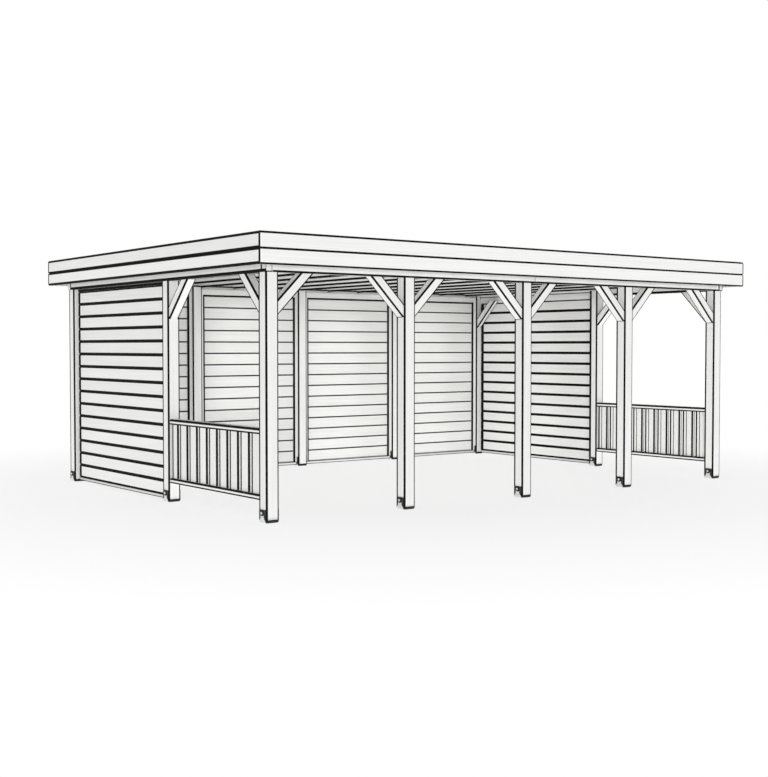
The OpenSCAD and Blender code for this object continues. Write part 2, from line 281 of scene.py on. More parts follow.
def stained_arris(tree, shader, colour, rubbed_colour):
    """Dark stain on the eased edges."""
    # Edges eased with a plane after painting and stained charcoal: matt, nearly black, with paler
    # fibres along the cut where the stain is rubbed thin. Fibres are drawn 3 mm wide and 90 mm long.
    fibres = grain_streaks(tree, 90 * MM, 3 * MM, detail=2.0)
    thin = {"Value": fibres, "From Min": 0.5, "From Max": 0.8}
    rubbed = add_node(tree, "MapRange", thin).outputs["Result"]
    stains = {0: rubbed, FIRST: rgba(colour), SECOND: rgba(rubbed_colour)}
    stain = add_node(tree, "Mix", stains, data_type="RGBA").outputs[MIXED]
    fill(shader, {"Base Color": stain, "Roughness": 0.9, "Specular IOR Level": 0.15})


def galvanised_steel(tree, shader, colour):
    """Hot-dip zinc on the shoes' strap steel."""
    # Strap steel bent and dipped in zinc: a pale grey metal with frost-like spangles of unequal shine.
    shares = (0.82, 1.0)
    # Spangles are 8 to 12 mm across
    spangles, tone = mottled(tree, "TexVoronoi", "Color", 10 * MM, colour, shares)
    gloss = {"Value": spangles, "To Min": 0.38, "To Max": 0.6}
    shine = add_node(tree, "MapRange", gloss).outputs["Result"]
    fill(shader, {"Base Color": tone, "Roughness": shine, "Metallic": 1.0})


def brushed_primer(tree, shader, colour):
    """Dark zinc-rich primer on the shoes' cut edges."""
    # Primer brushed over the cut edges: matt and nearly black, with lighter brush marks.
    shares = (1.0, 2.2)
    # Brush marks are about 4 mm apart
    _, tone = mottled(tree, "TexNoise", "Fac", 4 * MM, colour, shares, Detail=2.0)
    fill(shader, {"Base Color": tone, "Roughness": 0.7})


def black_oxide_steel(tree, shader, colour):
    """Black oxide on the coach screws."""
    # Forged heads blackened in a salt bath: dark metal with a soft shine, greyer where it is handled.
    shares = (0.7, 1.8)
    # Scale marks on the forged faces are about 6 mm across
    _, tone = mottled(tree, "TexNoise", "Fac", 6 * MM, colour, shares, Detail=3.0)
    fill(shader, {"Base Color": tone, "Metallic": 1.0, "Roughness": 0.5})


def mineral_felt(tree, shader, colour):
    """Mineral-surfaced bitumen felt."""
    # Bitumen felt rolled out with crushed slate pressed in its face: a dry, matt, speckled grey with a
    # rough grit, paler in drifts where granules lie thick.
    shares, drift_share = (0.6, 1.35), 1.5
    # Granules are about 1.5 mm across, drawn 12 mm across so that the speckle shows
    grit, speckle = mottled(tree, "TexVoronoi", "Color", 12 * MM, colour, shares)
    place = add_node(tree, "TexCoord").outputs["Object"]
    # Drifts of granules are about 300 mm across
    patches = {"Vector": place, "Scale": 1 / (300 * MM), "Detail": 4.0}
    drifts = add_node(tree, "TexNoise", patches).outputs["Fac"]
    cover = {"Value": drifts, "From Min": 0.45, "From Max": 0.75, "To Max": 0.8}
    thick = add_node(tree, "MapRange", cover).outputs["Result"]
    tones = {0: thick, FIRST: speckle, SECOND: rgba(colour, drift_share)}
    tone = add_node(tree, "Mix", tones, data_type="RGBA").outputs[MIXED]
    relief = {"Height": grit.node.outputs["Distance"], "Strength": 0.6, "Distance": 1.2 * MM}
    rough = add_node(tree, "Bump", relief).outputs["Normal"]
    fill(shader, {"Base Color": tone, "Normal": rough, "Roughness": 0.9})


def lap_bitumen(tree, shader, colour):
    """Bitumen squeezed out along the laps of the felt."""
    # Bitumen melted at the lap and pressed out in a bead: black, with a soft shine where it set smooth
    # and greyer where dust has settled on it.
    shares = (1.0, 3.0)
    # Waves in the bead are about 60 mm long
    waves, tone = mottled(tree, "TexNoise", "Fac", 60 * MM, colour, shares, Detail=3.0)
    shine = add_node(tree, "MapRange", {"Value": waves, "To Min": 0.4, "To Max": 0.8}).outputs["Result"]
    fill(shader, {"Base Color": tone, "Roughness": shine})


def frame_paint():
    """White paint of the frame and the roof timbers."""
    return material("white paint on planed spruce", painted_spruce, settings().finish.frame_white)


def board_paint():
    """White paint of the wall boards and balustrades."""
    return material("white paint on spruce boards", painted_spruce, settings().finish.board_white)


def fascia_paint():
    """White paint of the fascia."""
    return material("white paint on spruce fascia", painted_spruce, settings().finish.fascia_white)


def arris_stain():
    """Dark stain of all eased edges, sealed ends and lines, and the painted shade on the left wall's top
    rail.
    """
    finish = settings().finish
    name = "dark stain on spruce edges and painted shade"
    return material(name, stained_arris, finish.arris_stain, finish.rubbed_stain)


def solids(node):
    """The solids of a CAD node as a bmesh in which each flat side is one face."""
    weld = 0.02 * MM
    flat = math.radians(0.5)
    bm = bmesh.new()
    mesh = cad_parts[node].data
    corners = [bm.verts.new(v.co) for v in mesh.vertices]
    for polygon in mesh.polygons:
        bm.faces.new([corners[i] for i in polygon.vertices])
    bmesh.ops.remove_doubles(bm, verts=bm.verts, dist=weld)
    bmesh.ops.dissolve_limit(bm, angle_limit=flat, verts=bm.verts, edges=bm.edges)
    bm.normal_update()
    return bm


def add_rings(bm, rings):
    """Adds a solid through rings of points and returns its faces, the two ends first."""
    loops = [[bm.verts.new(point) for point in ring] for ring in rings]
    count = len(loops[0])
    faces = [bm.faces.new(loops[0]), bm.faces.new(loops[-1])]
    for low, high in zip(loops, loops[1:]):
        for i in range(count):
            j = (i + 1) % count
            faces.append(bm.faces.new((low[i], low[j], high[j], high[i])))
    bmesh.ops.recalc_face_normals(bm, faces=faces)
    return faces


def add_prism(bm, outline, depth, place):
    """Adds an outline drawn in a plane and pulled through a depth, moved to its place."""
    return add_rings(bm, [[place @ Vector((x, y, z)) for x, y in outline] for z in (0, depth)])


def add_box(bm, low, high):
    """Adds a block between two corners and returns its faces."""
    size = Vector(high) - Vector(low)
    outline = [(0, 0), (size.x, 0), (size.x, size.y), (0, size.y)]
    return add_prism(bm, outline, size.z, Matrix.Translation(low))


def section_axes(across, along):
    """The turn of a section that is drawn across and up, and pulled along."""
    return Matrix((across, UP, along)).transposed().to_4x4()


def stain_sides(faces, sides):
    """Stains dark some sides of a prism, whose faces start with its two ends."""
    ends = 2
    for side in sides:
        faces[ends + side].material_index = ARRIS


def timbers(bm):
    """The faces of each separate timber."""
    seen = set()
    for start in bm.faces:
        if start in seen:
            continue
        seen.add(start)
        found = [start]
        for face in found:
            for edge in face.edges:
                for other in edge.link_faces:
                    if other not in seen:
                        seen.add(other)
                        found.append(other)
        yield found


def edges_of(faces):
    """The edges of some faces, each once and in a fixed order."""
    return list(dict.fromkeys(edge for face in faces for edge in face.edges))


def length_of(faces):
    """The direction in which a timber's longest edge runs, with the same sign in every run."""
    leaning = Vector((4, 2, 1))
    longest = max(edges_of(faces), key=lambda edge: edge.calc_length())
    along = (longest.verts[1].co - longest.verts[0].co).normalized()
    return along if along.dot(leaning) > 0 else -along


def outer_edges(bm, ends=False):
    """The outer edges along every timber, and round its ends too if asked."""
    along_share = 0.98
    chosen = []
    for faces in timbers(bm):
        along = length_of(faces)
        for edge in edges_of(faces):
            run = (edge.verts[1].co - edge.verts[0].co).normalized()
            if edge.is_convex and (ends or abs(run.dot(along)) > along_share):
                chosen.append(edge)
    return chosen


def ease(bm, width, chosen):
    """Eases the chosen edges and stains them dark."""
    steps = 3
    fullness = 0.82
    bmesh.ops.bevel(
        bm,
        geom=chosen,
        offset=width,
        offset_type="OFFSET",
        segments=steps,
        profile=fullness,
        affect="EDGES",
        clamp_overlap=False,
        material=ARRIS,
    )


def lies_level(edge, height):
    """Whether an edge lies at a height."""
    return all(abs(v.co.z - height) < NEAR for v in edge.verts)


def cut_across(bm, spot, across):
    """Cuts all faces along a plane, and keeps both sides."""
    everything = [*bm.verts, *bm.edges, *bm.faces]
    bmesh.ops.bisect_plane(bm, geom=everything, plane_co=spot, plane_no=across)


def seal_beyond(bm, spot, outward):
    """Stains dark what lies beyond a spot."""
    spot = Vector(spot)
    cut_across(bm, spot, outward)
    for face in bm.faces:
        if (face.calc_center_median() - spot).dot(outward) > 0:
            face.material_index = ARRIS


def score(bm, spot, across, width, outward):
    """Draws a dark line of a width, square to across, where a face looks outward, and returns its faces."""
    line = []
    spot = Vector(spot)
    cut_across(bm, spot - across * width / 2, across)
    cut_across(bm, spot + across * width / 2, across)
    for face in bm.faces:
        away = face.calc_center_median() - spot
        if abs(away.dot(outward)) < NEAR and abs(away.dot(across)) < width / 2:
            face.material_index = ARRIS
            line.append(face)
    return line


def lay_grain(bm, seed):
    """Lays the grain map along every timber, shifted so that no two look alike, and gives each its tint."""
    across_limit = 0.3
    shift_range = 40.0
    draw = random.Random(seed)
    grain = bm.loops.layers.uv.new("grain")
    tint = bm.faces.layers.float.new("tint")
    bm.normal_update()
    for faces in timbers(bm):
        along = length_of(faces)
        shift = Vector((draw.uniform(0, shift_range), draw.uniform(0, shift_range)))
        tone = draw.random()
        for face in faces:
            face[tint] = tone
            across = face.normal.cross(along)
            first = along if across.length > across_limit else along.orthogonal()
            second = face.normal.cross(first).normalized()
            for loop in face.loops:
                spot = loop.vert.co
                loop[grain].uv = shift + Vector((spot.dot(first), spot.dot(second)))


def add_object(name, data):
    """Adds an object to the scene."""
    thing = bpy.data.objects.new(name, data)
    bpy.context.scene.collection.objects.link(thing)
    return thing


def add_mesh(bm, name, skins):
    """Makes a bmesh an object with its materials."""
    mesh = bpy.data.meshes.new(name)
    bm.to_mesh(mesh)
    bm.free()
    for skin in skins:
        mesh.materials.append(skin)
    return add_object(name, mesh)


def add_piece(bm, name, nodes, skins, smooth=False):
    """Makes a bmesh a piece that rides on the cover, in place of its CAD nodes."""
    crease = math.radians(30)
    piece = add_mesh(bm, name, skins)
    if smooth:
        piece.data.shade_smooth()
        piece.data.set_sharp_from_angle(angle=crease)
    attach(piece, "root")
    if nodes:
        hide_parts(*nodes)


def add_timber_piece(bm, name, node, paint):
    """Lays the grain on finished timbers and makes them a piece in place of their CAD node."""
    lay_grain(bm, name)
    add_piece(bm, name, [node], [paint, arris_stain()])


def add_frame_timber(bm, node):
    """Makes finished timbers a piece of the painted frame."""
    add_timber_piece(bm, f"{node}_timber", node, frame_paint())


class PATIO_OT_posts(Operator):
    """Twelve square posts with eased edges"""

    bl_idname = "patio.posts"
    bl_label = "Posts"

    def execute(self, context):
        timber = settings().timber
        for node in FRONT_POSTS + BACK_POSTS + MIDDLE_POSTS:
            bm = solids(node)
            ease(bm, timber.arris, outer_edges(bm))
            low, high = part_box(node)
            line = timber.wall_line if node == "right_middle_post" else timber.post_line
            score(bm, (low.x, high.y - line / 2, 0), BACK, line, -RIGHT)
            seal_beyond(bm, low + UP * timber.sealed_foot, -UP)
            add_frame_timber(bm, node)
        return {"FINISHED"}


def add_stack(bm, sides, rings, place):
    """Adds a turned or hexagonal solid from rings of radius and height."""
    turns = [math.tau * (i + 0.5) / sides for i in range(sides)]
    loops = []
    for radius, height in rings:
        loops.append([place @ Vector((radius * math.cos(t), radius * math.sin(t), height)) for t in turns])
    return add_rings(bm, loops)


def add_coach_screw(bm, spot, outward):
    """Adds a black washer and a zinc hexagonal head that stand out from a strap."""
    washer_r, washer_t, washer_sides = 25 * MM, 3 * MM, 32
    head_r, head_h, head_sides = 12 * MM, 8 * MM, 6
    crown_share, rim_share, lip = 0.8, 0.94, 0.7 * MM
    place = Matrix.Translation(spot) @ outward.to_track_quat("Z", "Y").to_matrix().to_4x4()
    washer = [(washer_r, 0), (washer_r, washer_t - lip), (washer_r * rim_share, washer_t)]
    add_stack(bm, washer_sides, washer, place)
    top = washer_t + head_h
    head = [(head_r, washer_t), (head_r, top - 2 * lip), (head_r * crown_share, top)]
    for face in add_stack(bm, head_sides, head, place):
        face.material_index = HEAD


def add_straps(node, metals):
    """Adds a row of shoes, with a dark rim on the large faces that look sideways."""
    rim, sealed_from = 24 * MM, 62 * MM
    least_area, foot = (3 * rim) ** 2, 2 * rim
    square_on = 0.99
    bm = solids(node)
    large = [face for face in bm.faces if face.calc_area() > least_area]
    sides = [face for face in large if abs(face.normal.x) > square_on]
    for face in bm.faces:
        cut = abs(face.normal.y) > square_on or face.normal.z > square_on
        face.material_index = SEALED if cut else ZINC
    rims = bmesh.ops.inset_individual(bm, faces=sides, thickness=rim, use_even_offset=True)
    for face in rims["faces"]:
        face.material_index = ZINC if face.calc_center_median().z < foot else SEALED
    cut_across(bm, UP * sealed_from, UP)
    for face in bm.faces:
        if face.calc_center_median().z > sealed_from:
            face.material_index = SEALED
    add_piece(bm, f"{node}_straps", [node], metals, smooth=True)


def add_screws(node, posts, metals):
    """Adds the screws of a row of shoes. Along the back wall only the outer sides are free."""
    screw_height = 82 * MM
    outer_side = {"back_post_1": [-1], "back_post_5": [1]}
    free_sides = [] if node == "back_shoes" else [-1, 1]
    strap_low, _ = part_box(node)
    first_low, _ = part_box(posts[0])
    strap_t = first_low.x - strap_low.x
    bm = bmesh.new()
    for post in posts:
        low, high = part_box(post)
        middle = (low + high) / 2
        for side in outer_side.get(post, free_sides):
            x = high.x + strap_t if side > 0 else low.x - strap_t
            add_coach_screw(bm, Vector((x, middle.y, screw_height)), RIGHT * side)
    add_piece(bm, f"{node}_coach_screws", [], metals)


class PATIO_OT_shoes(Operator):
    """Zinc shoes with sealed cut edges and coach screws"""

    bl_idname = "patio.shoes"
    bl_label = "Shoes"

    def execute(self, context):
        finish = settings().finish
        zinc = material("hot-dip galvanised strap steel", galvanised_steel, finish.zinc)
        primer = material("brushed zinc-rich primer", brushed_primer, finish.edge_sealer)
        black = material("black oxide coach screws", black_oxide_steel, finish.bolt_black)
        rows = {"front_shoes": FRONT_POSTS, "middle_shoes": MIDDLE_POSTS, "back_shoes": BACK_POSTS}
        for node, posts in rows.items():
            add_straps(node, [zinc, primer])
            add_screws(node, posts, [black, zinc])
        return {"FINISHED"}


def add_side_beam(node, outward, timber):
    """Adds a side beam, whose front end is a corner block of its own."""
    line, seam_inset, end_line = timber.fine_arris, 9 * MM, 24 * MM
    wide_line, heavy_line = 2 * line, 4 * line
    low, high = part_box(node)
    outer_x, inner_x = (low.x, high.x) if outward < 0 else (high.x, low.x)
    block_end = low.y + timber.corner_block
    bm = bmesh.new()
    add_box(bm, low, (high.x, block_end, high.z))
    add_box(bm, (low.x, block_end, low.z), high)
    lower = [edge for edge in bm.edges if is_lower(edge, low.z)]
    if outward > 0:
        lower = [edge for edge in lower if not all(v.co.x == inner_x for v in edge.verts)]
    ease(bm, timber.side_rim, lower)
    for y in (block_end, high.y - end_line / 2):
        score(bm, (outer_x, y, 0), BACK, end_line, RIGHT * outward)
    seam, edge_line = (line, wide_line) if outward < 0 else (heavy_line, heavy_line)
    score(bm, (outer_x, low.y, 0), RIGHT, edge_line, -BACK)
    score(bm, (inner_x + outward * seam_inset, low.y, 0), RIGHT, seam, -BACK)
    score(bm, (outer_x, low.y, low.z + line), UP, wide_line, -BACK)
    if outward > 0:
        line_inner_face(bm, inner_x, low.z, timber)
    add_frame_timber(bm, node)


def line_inner_face(bm, inner_x, foot, timber):
    """Lines the right beam's inner face along its foot in the open bay, and higher up over the wall."""
    bay_line, wall_line = 2 * timber.arris, 2 * timber.fine_arris
    wall_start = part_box("right_boards")[0].y
    cut_across(bm, BACK * wall_start, BACK)
    for face in score(bm, (inner_x, 0, foot + timber.arris), UP, bay_line, -RIGHT):
        if face.calc_center_median().y > wall_start:
            face.material_index = FACE
    for face in score(bm, (inner_x, 0, foot + timber.beam_score), UP, wall_line, -RIGHT):
        if face.calc_center_median().y < wall_start:
            face.material_index = FACE


def is_lower(edge, foot):
    """Whether an edge is a lower one that doesn't lie across the beam."""
    across = edge.verts[0].co.y == edge.verts[1].co.y
    return lies_level(edge, foot) and not across


class PATIO_OT_beams(Operator):
    """Ring of beams with their lap joints and corner blocks"""

    bl_idname = "patio.beams"
    bl_label = "Beams"

    def execute(self, context):
        timber = settings().timber
        line = timber.fine_arris
        for side in ("front", "back"):
            _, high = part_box(f"{side}_beam_left")
            lap_low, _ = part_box(f"{side}_beam_right")
            ends = {"left": (high.x - line, 1), "right": (lap_low.x + line, -1)}
            for half, (x, outward) in ends.items():
                node = f"{side}_beam_{half}"
                bm = solids(node)
                ease(bm, timber.heavy_arris, outer_edges(bm))
                seal_beyond(bm, RIGHT * x, RIGHT * outward)
                add_frame_timber(bm, node)
        add_side_beam("left_beam", -1, timber)
        add_side_beam("right_beam", 1, timber)
        return {"FINISHED"}


class PATIO_OT_braces(Operator):
    """Knee braces between the posts and the beams"""

    bl_idname = "patio.braces"
    bl_label = "Braces"

    def execute(self, context):
        for node in ("front_braces", "left_braces", "right_braces"):
            bm = solids(node)
            chosen = outer_edges(bm)
            if node == "front_braces":
                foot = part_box(node)[0].z
                chosen += [edge for edge in bm.edges if lies_level(edge, foot)]
            ease(bm, settings().timber.arris, chosen)
            add_frame_timber(bm, node)
        return {"FINISHED"}


def tongued_outline(timber, thickness, pitch, last):
    """Section of a tongued wall board from its jointed face inwards, and the sides that are stained."""
    near_share, far_share, groove_share = 0.45, 0.7, 1.1
    half, deep, inner = timber.joint_width / 2, timber.joint_depth, timber.inner_chamfer
    near, far = near_share * thickness, far_share * thickness
    groove, tip = timber.tongue * groove_share, pitch + timber.tongue
    tongue = [] if last else [(near, pitch), (near, tip), (far, tip), (far, pitch)]
    outline = [(0, half), (0, pitch - half), (deep, pitch), *tongue]
    outline += [(thickness - inner, pitch), (thickness, pitch - inner), (thickness, inner)]
    outline += [(thickness - inner, 0), (far, 0), (far, groove), (near, groove), (near, 0), (deep, 0)]
    # Both slopes of the V joint and both inner chamfers, by the points where they start
    starts = [(0, pitch - half), (thickness - inner, pitch), (thickness, inner), (deep, 0)]
    return outline, [outline.index(point) for point in starts]


def add_panel(node, start, size, directions, sealed):
    """Adds a panel's boards from a starting corner, sealed at both ends."""
    timber = settings().timber
    thickness, length, height = size
    across, along = directions
    pitch = height / timber.board_count
    bm = bmesh.new()
    for i in range(timber.board_count):
        outline, stained = tongued_outline(timber, thickness, pitch, i == timber.board_count - 1)
        place = Matrix.Translation(start + UP * (i * pitch)) @ section_axes(across, along)
        stain_sides(add_prism(bm, outline, length, place), stained)
    seal_beyond(bm, start + along * sealed, -along)
    seal_beyond(bm, start + along * (length - sealed), along)
    add_timber_piece(bm, f"{node}_tongued", node, board_paint())


class PATIO_OT_boards(Operator):
    """Tongued boards of the six wall panels"""

    bl_idname = "patio.boards"
    bl_label = "Wall boards"

    def execute(self, context):
        timber = settings().timber
        for node in BACK_BOARDS:
            low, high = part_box(node)
            # Drawn from the outer face at the back inwards, and pulled to the right
            start = Vector((low.x, high.y, low.z))
            size = (high.y - low.y, high.x - low.x, high.z - low.z)
            add_panel(node, start, size, (-BACK, RIGHT), timber.sealed_end)
        for node in SIDE_BOARDS:
            low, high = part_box(node)
            # Drawn from the left face inwards, and pulled to the back
            size = (high.x - low.x, high.y - low.y, high.z - low.z)
            add_panel(node, low, size, (RIGHT, BACK), timber.side_sealed_end)
        return {"FINISHED"}


def add_top_rails(timber):
    """Adds the top rails with a dark lower edge on the exposed side, and painted shade on the left wall's
    rail.
    """
    lengthwise, square_on = 0.5, 0.9
    bm = solids("top_rails")
    # The right wall's rail stays white under the line on its beam
    right_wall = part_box("right_boards")[0].x
    chosen = []
    for faces in timbers(bm):
        exposed = -BACK if abs(length_of(faces).x) > lengthwise else RIGHT
        foot = min(v.co.z for face in faces for v in face.verts)
        edges = edges_on_side(faces, exposed)
        chosen += [edge for edge in edges if lies_level(edge, foot) and edge.verts[0].co.x < right_wall]
    ease(bm, timber.arris, chosen)
    # The left wall's rail is stained dark all over its outer face: painted shade for the shadow under the
    # beam
    for face in bm.faces:
        if face.normal.x < -square_on and face.calc_center_median().x < 0:
            face.material_index = ARRIS
    add_frame_timber(bm, "top_rails")


def add_stiles(node, exposed, timber):
    """Adds stiles with a dark line along the inner edge of their exposed side."""
    rail_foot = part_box("top_rails")[0].z
    bm = solids(node)
    inner, lines = [], []
    for faces in timbers(bm):
        corners = [v.co for face in faces for v in face.verts]
        middle = sum(corners, Vector()) / len(corners)
        for edge in edges_on_side(faces, exposed):
            first, last = sorted((v.co.copy() for v in edge.verts), key=lambda spot: spot.z)
            upright = last.z - first.z > edge.calc_length() / 2
            # A stile is lower on its inner side, where it meets the top rail's mitre
            if upright and abs(last.z - rail_foot) < NEAR:
                across = exposed.cross(UP)
                across = across if (middle - first).dot(across) > 0 else -across
                inner.append(edge)
                lines.append((first + across * timber.stile_line / 2, across))
    ease(bm, timber.arris, inner)
    for spot, across in lines:
        score(bm, spot, across, timber.stile_line, exposed)
    # Easing leaves the stiles in an order that changes from run to run, so they are put in order of place
    bm.faces.sort(key=lambda face: face.calc_center_median().dot(2 * RIGHT + BACK))
    add_frame_timber(bm, node)


def edges_on_side(faces, exposed):
    """The edges of a timber that lie on its side in a direction."""
    side = max(v.co.dot(exposed) for face in faces for v in face.verts)
    return [edge for edge in edges_of(faces) if all(side - v.co.dot(exposed) < NEAR for v in edge.verts)]


class PATIO_OT_panel_frames(Operator):
    """Mitred stiles, sills and top rails of the wall panels"""

    bl_idname = "patio.panel_frames"
    bl_label = "Panel frames"

    def execute(self, context):
        timber = settings().timber
        add_stiles("back_stiles", -BACK, timber)
        add_stiles("side_stiles", RIGHT, timber)
        bm = solids("sills")
        ease(bm, timber.sill_arris, outer_edges(bm, ends=True))
        add_frame_timber(bm, "sills")
        add_top_rails(timber)
        return {"FINISHED"}


def add_balustrade(node, inward):
    """Adds two rails and the slats between them, set out from a gap in front or from the back."""
    timber = settings().timber
    score_line = 2 * timber.fine_arris
    low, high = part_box(node)
    rail_under = high.z - timber.handrail_height
    rail_over = low.z + timber.bottom_rail_height
    middle, half = (low.x + high.x) / 2, timber.slat_thickness / 2
    pitch = timber.slat_width + timber.slat_gap
    count = math.ceil((high.y - low.y - timber.slat_gap) / pitch)
    first = low.y + timber.slat_gap if inward > 0 else high.y + timber.slat_gap - count * pitch
    bm = bmesh.new()
    add_box(bm, (low.x, low.y, rail_under), high)
    add_box(bm, low, (high.x, high.y, rail_over))
    rail_edges = {
        high.z: timber.rim,
        rail_under: timber.arris,
        rail_over: timber.heavy_arris,
        low.z: timber.arris,
    }
    for level, width in rail_edges.items():
        ease(bm, width, [edge for edge in outer_edges(bm) if lies_level(edge, level)])
    uprights, backs = [], []
    for i in range(count):
        near = max(first + i * pitch, low.y)
        far = min(first + i * pitch + timber.slat_width, high.y)
        faces = add_box(bm, (middle - half, near, rail_over), (middle + half, far, rail_under))
        uprights += [edge for edge in edges_of(faces) if edge.verts[0].co.z != edge.verts[1].co.z]
        backs.append(far)
    ease(bm, timber.arris, uprights)
    for back in backs:
        spot = (middle + inward * half, back - timber.slat_score, 0)
        score(bm, spot, BACK, score_line, RIGHT * inward)
        for side in (-1, 1):
            spot = (middle + side * half, back - timber.slat_back / 2, 0)
            score(bm, spot, BACK, timber.slat_back, RIGHT * side)
    add_timber_piece(bm, f"{node}_timber", node, board_paint())


class PATIO_OT_balustrades(Operator):
    """Rails and slats of the two balustrades"""

    bl_idname = "patio.balustrades"
    bl_label = "Balustrades"

    def execute(self, context):
        add_balustrade("left_balustrade", 1)
        add_balustrade("right_balustrade", -1)
        return {"FINISHED"}


class PATIO_OT_rafters(Operator):
    """Notched rafters and the joists behind the side fascias"""

    bl_idname = "patio.rafters"
    bl_label = "Rafters"

    def execute(self, context):
        for node in ("rafters", "verge_joists"):
            bm = solids(node)
            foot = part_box(node)[0].z
            lower = [edge for edge in outer_edges(bm) if lies_level(edge, foot)]
            ease(bm, settings().timber.rafter_arris, lower)
            add_timber_piece(bm, f"{node}_timber", node, frame_paint())
        return {"FINISHED"}


def add_deck():
    """Adds roof boards with chamfered lower edges."""
    chamfer = 2 * MM
    chamfered = (0, 2)
    low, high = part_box("roof_deck")
    count = round((high.y - low.y) / settings().timber.deck_board)
    pitch = (high.y - low.y) / count
    depth = high.z - low.z
    outline = [(0, chamfer), (chamfer, 0), (pitch - chamfer, 0), (pitch, chamfer)]
    outline += [(pitch, depth), (0, depth)]
    bm = bmesh.new()
    for i in range(count):
        place = Matrix.Translation((low.x, low.y + i * pitch, low.z)) @ section_axes(BACK, RIGHT)
        stain_sides(add_prism(bm, outline, high.x - low.x, place), chamfered)
    add_timber_piece(bm, "roof_boards", "roof_deck", frame_paint())


def add_felt():
    """Adds sheets of felt from the left, each lapped over the one before and sealed with bitumen."""
    roll, lap, bead = 1000 * MM, 80 * MM, 18 * MM
    sheet, ramp, step_share = 2 * MM, 8 * MM, 0.225
    low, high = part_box("roof_covering")
    width = high.x - low.x
    count = math.ceil((width - lap) / (roll - lap))
    pitch = (width - lap) / count
    step = (high.z - low.z) * step_share
    bm = bmesh.new()
    for i in range(count):
        # A sheet lies on the deck and steps up over the edge of the sheet before it
        end = pitch + lap
        outline = [(0, step), (lap, step), (lap + ramp, 0), (end, 0), (end, sheet)]
        outline += [(lap + 2 * ramp, sheet), (lap, step + sheet), (0, step + sheet)]
        if i == 0:
            outline = [(0, 0), (end, 0), (end, sheet), (0, sheet)]
        corner = Matrix.Translation((low.x + i * pitch, high.y, low.z))
        add_prism(bm, outline, high.y - low.y, corner @ section_axes(RIGHT, -BACK))
    for i in range(1, count):
        spot = (low.x + i * pitch - bead / 2, 0, low.z + sheet)
        score(bm, spot, RIGHT, bead, UP)
    add_upstands(bm, low, high)
    finish = settings().finish
    felt = material("mineral-surfaced bitumen felt", mineral_felt, finish.felt)
    bitumen = material("bitumen squeezed from felt laps", lap_bitumen, finish.bitumen)
    add_piece(bm, "roofing_felt", ["roof_covering"], [felt, bitumen])


def add_upstands(bm, low, high):
    """Adds felt turned up over a cant strip along the foot of each fascia."""
    upstand, ply, cant = 75 * MM, 4 * MM, 35 * MM
    outline = [(0, 0), (cant, 0), (ply, cant), (ply, upstand), (0, upstand)]
    middle = (low + high) / 2
    runs = [(high.y - low.y, high.x - low.x, 0), (high.x - low.x, high.y - low.y, 1)]
    for length, span, quarter in runs:
        for half_turn in (0, 1):
            turn = Matrix.Rotation(math.pi / 2 * quarter + math.pi * half_turn, 4, "Z")
            corner = turn @ Matrix.Translation((-span / 2, length / 2, 0))
            place = Matrix.Translation((middle.x, middle.y, high.z)) @ corner
            add_prism(bm, outline, length, place @ section_axes(RIGHT, -BACK))


class PATIO_OT_roof(Operator):
    """Roof boards under lapped felt with its upstands"""

    bl_idname = "patio.roof"
    bl_label = "Roof"

    def execute(self, context):
        add_deck()
        add_felt()
        return {"FINISHED"}


def add_fascia(node, quarter, timber):
    """Adds the boards of one side, drawn at the front and moved on by quarter turns."""
    at_side = quarter % 2 == 1
    low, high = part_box(node)
    depth = min(high.x - low.x, high.y - low.y)
    half = max(high.x - low.x, high.y - low.y) / 2
    reach = (-low.y, high.x, high.y, -low.x)[quarter]
    turn = Matrix.Rotation(math.pi / 2 * quarter, 4, "Z")
    joint = low.z + timber.fascia_lower
    under, over = joint - timber.fascia_joint / 2, joint + timber.fascia_joint / 2
    seam = timber.side_seam if at_side else timber.fascia_seam
    foot = timber.side_fascia_foot if at_side else timber.fascia_foot
    rim = timber.side_rim if at_side else timber.rim
    lower = eased_outline(depth, (low.z, under), (foot, seam))
    upper = eased_outline(depth, (over, high.z), (seam, rim))
    tongue = [(timber.fascia_tongue, under), (timber.fascia_tongue, over)]
    tongue += [(depth, over), (depth, under)]
    eased, whole = (1, 2, 4, 5), range(len(tongue))
    bm = bmesh.new()
    for outline, stained in ((lower, eased), (upper, eased), (tongue, whole)):
        ends = []
        for side in (-1, 1):
            ends.append([turn @ Vector((side * (half - d), d - reach, z)) for d, z in outline])
        stain_sides(add_rings(bm, ends), stained)
    for side in (-1, 1):
        outward = turn.to_3x3() @ (RIGHT * side)
        corner = timber.fascia_corner
        if at_side:
            corner = timber.side_fascia_corner if outward.y > 0 else timber.fine_arris
        seal_beyond(bm, turn @ Vector((side * (half - corner), 0, 0)), outward)
    # Turning rounds the last digit, so the corners are kept inside the frame's box
    for vert in bm.verts:
        vert.co = [min(max(c, a), b) for c, a, b in zip(vert.co, low, high)]
    add_timber_piece(bm, f"{node}_boards", node, fascia_paint())


def eased_outline(depth, levels, arrises):
    """Section of a fascia board as depths behind its outer face and heights, eased below and above."""
    fullness = 0.25
    bottom, top = levels
    below, above = arrises
    outline = [(depth, bottom), (below, bottom)]
    outline += [(below * fullness, bottom + below * fullness), (0, bottom + below)]
    outline += [(0, top - above), (above * fullness, top - above * fullness)]
    return outline + [(above, top), (depth, top)]


class PATIO_OT_fascias(Operator):
    """Two mitred fascia boards on each side of the roof"""

    bl_idname = "patio.fascias"
    bl_label = "Fascias"

    def execute(self, context):
        for quarter, node in enumerate(("front_fascia", "right_fascia", "back_fascia", "left_fascia")):
            add_fascia(node, quarter, settings().timber)
        return {"FINISHED"}


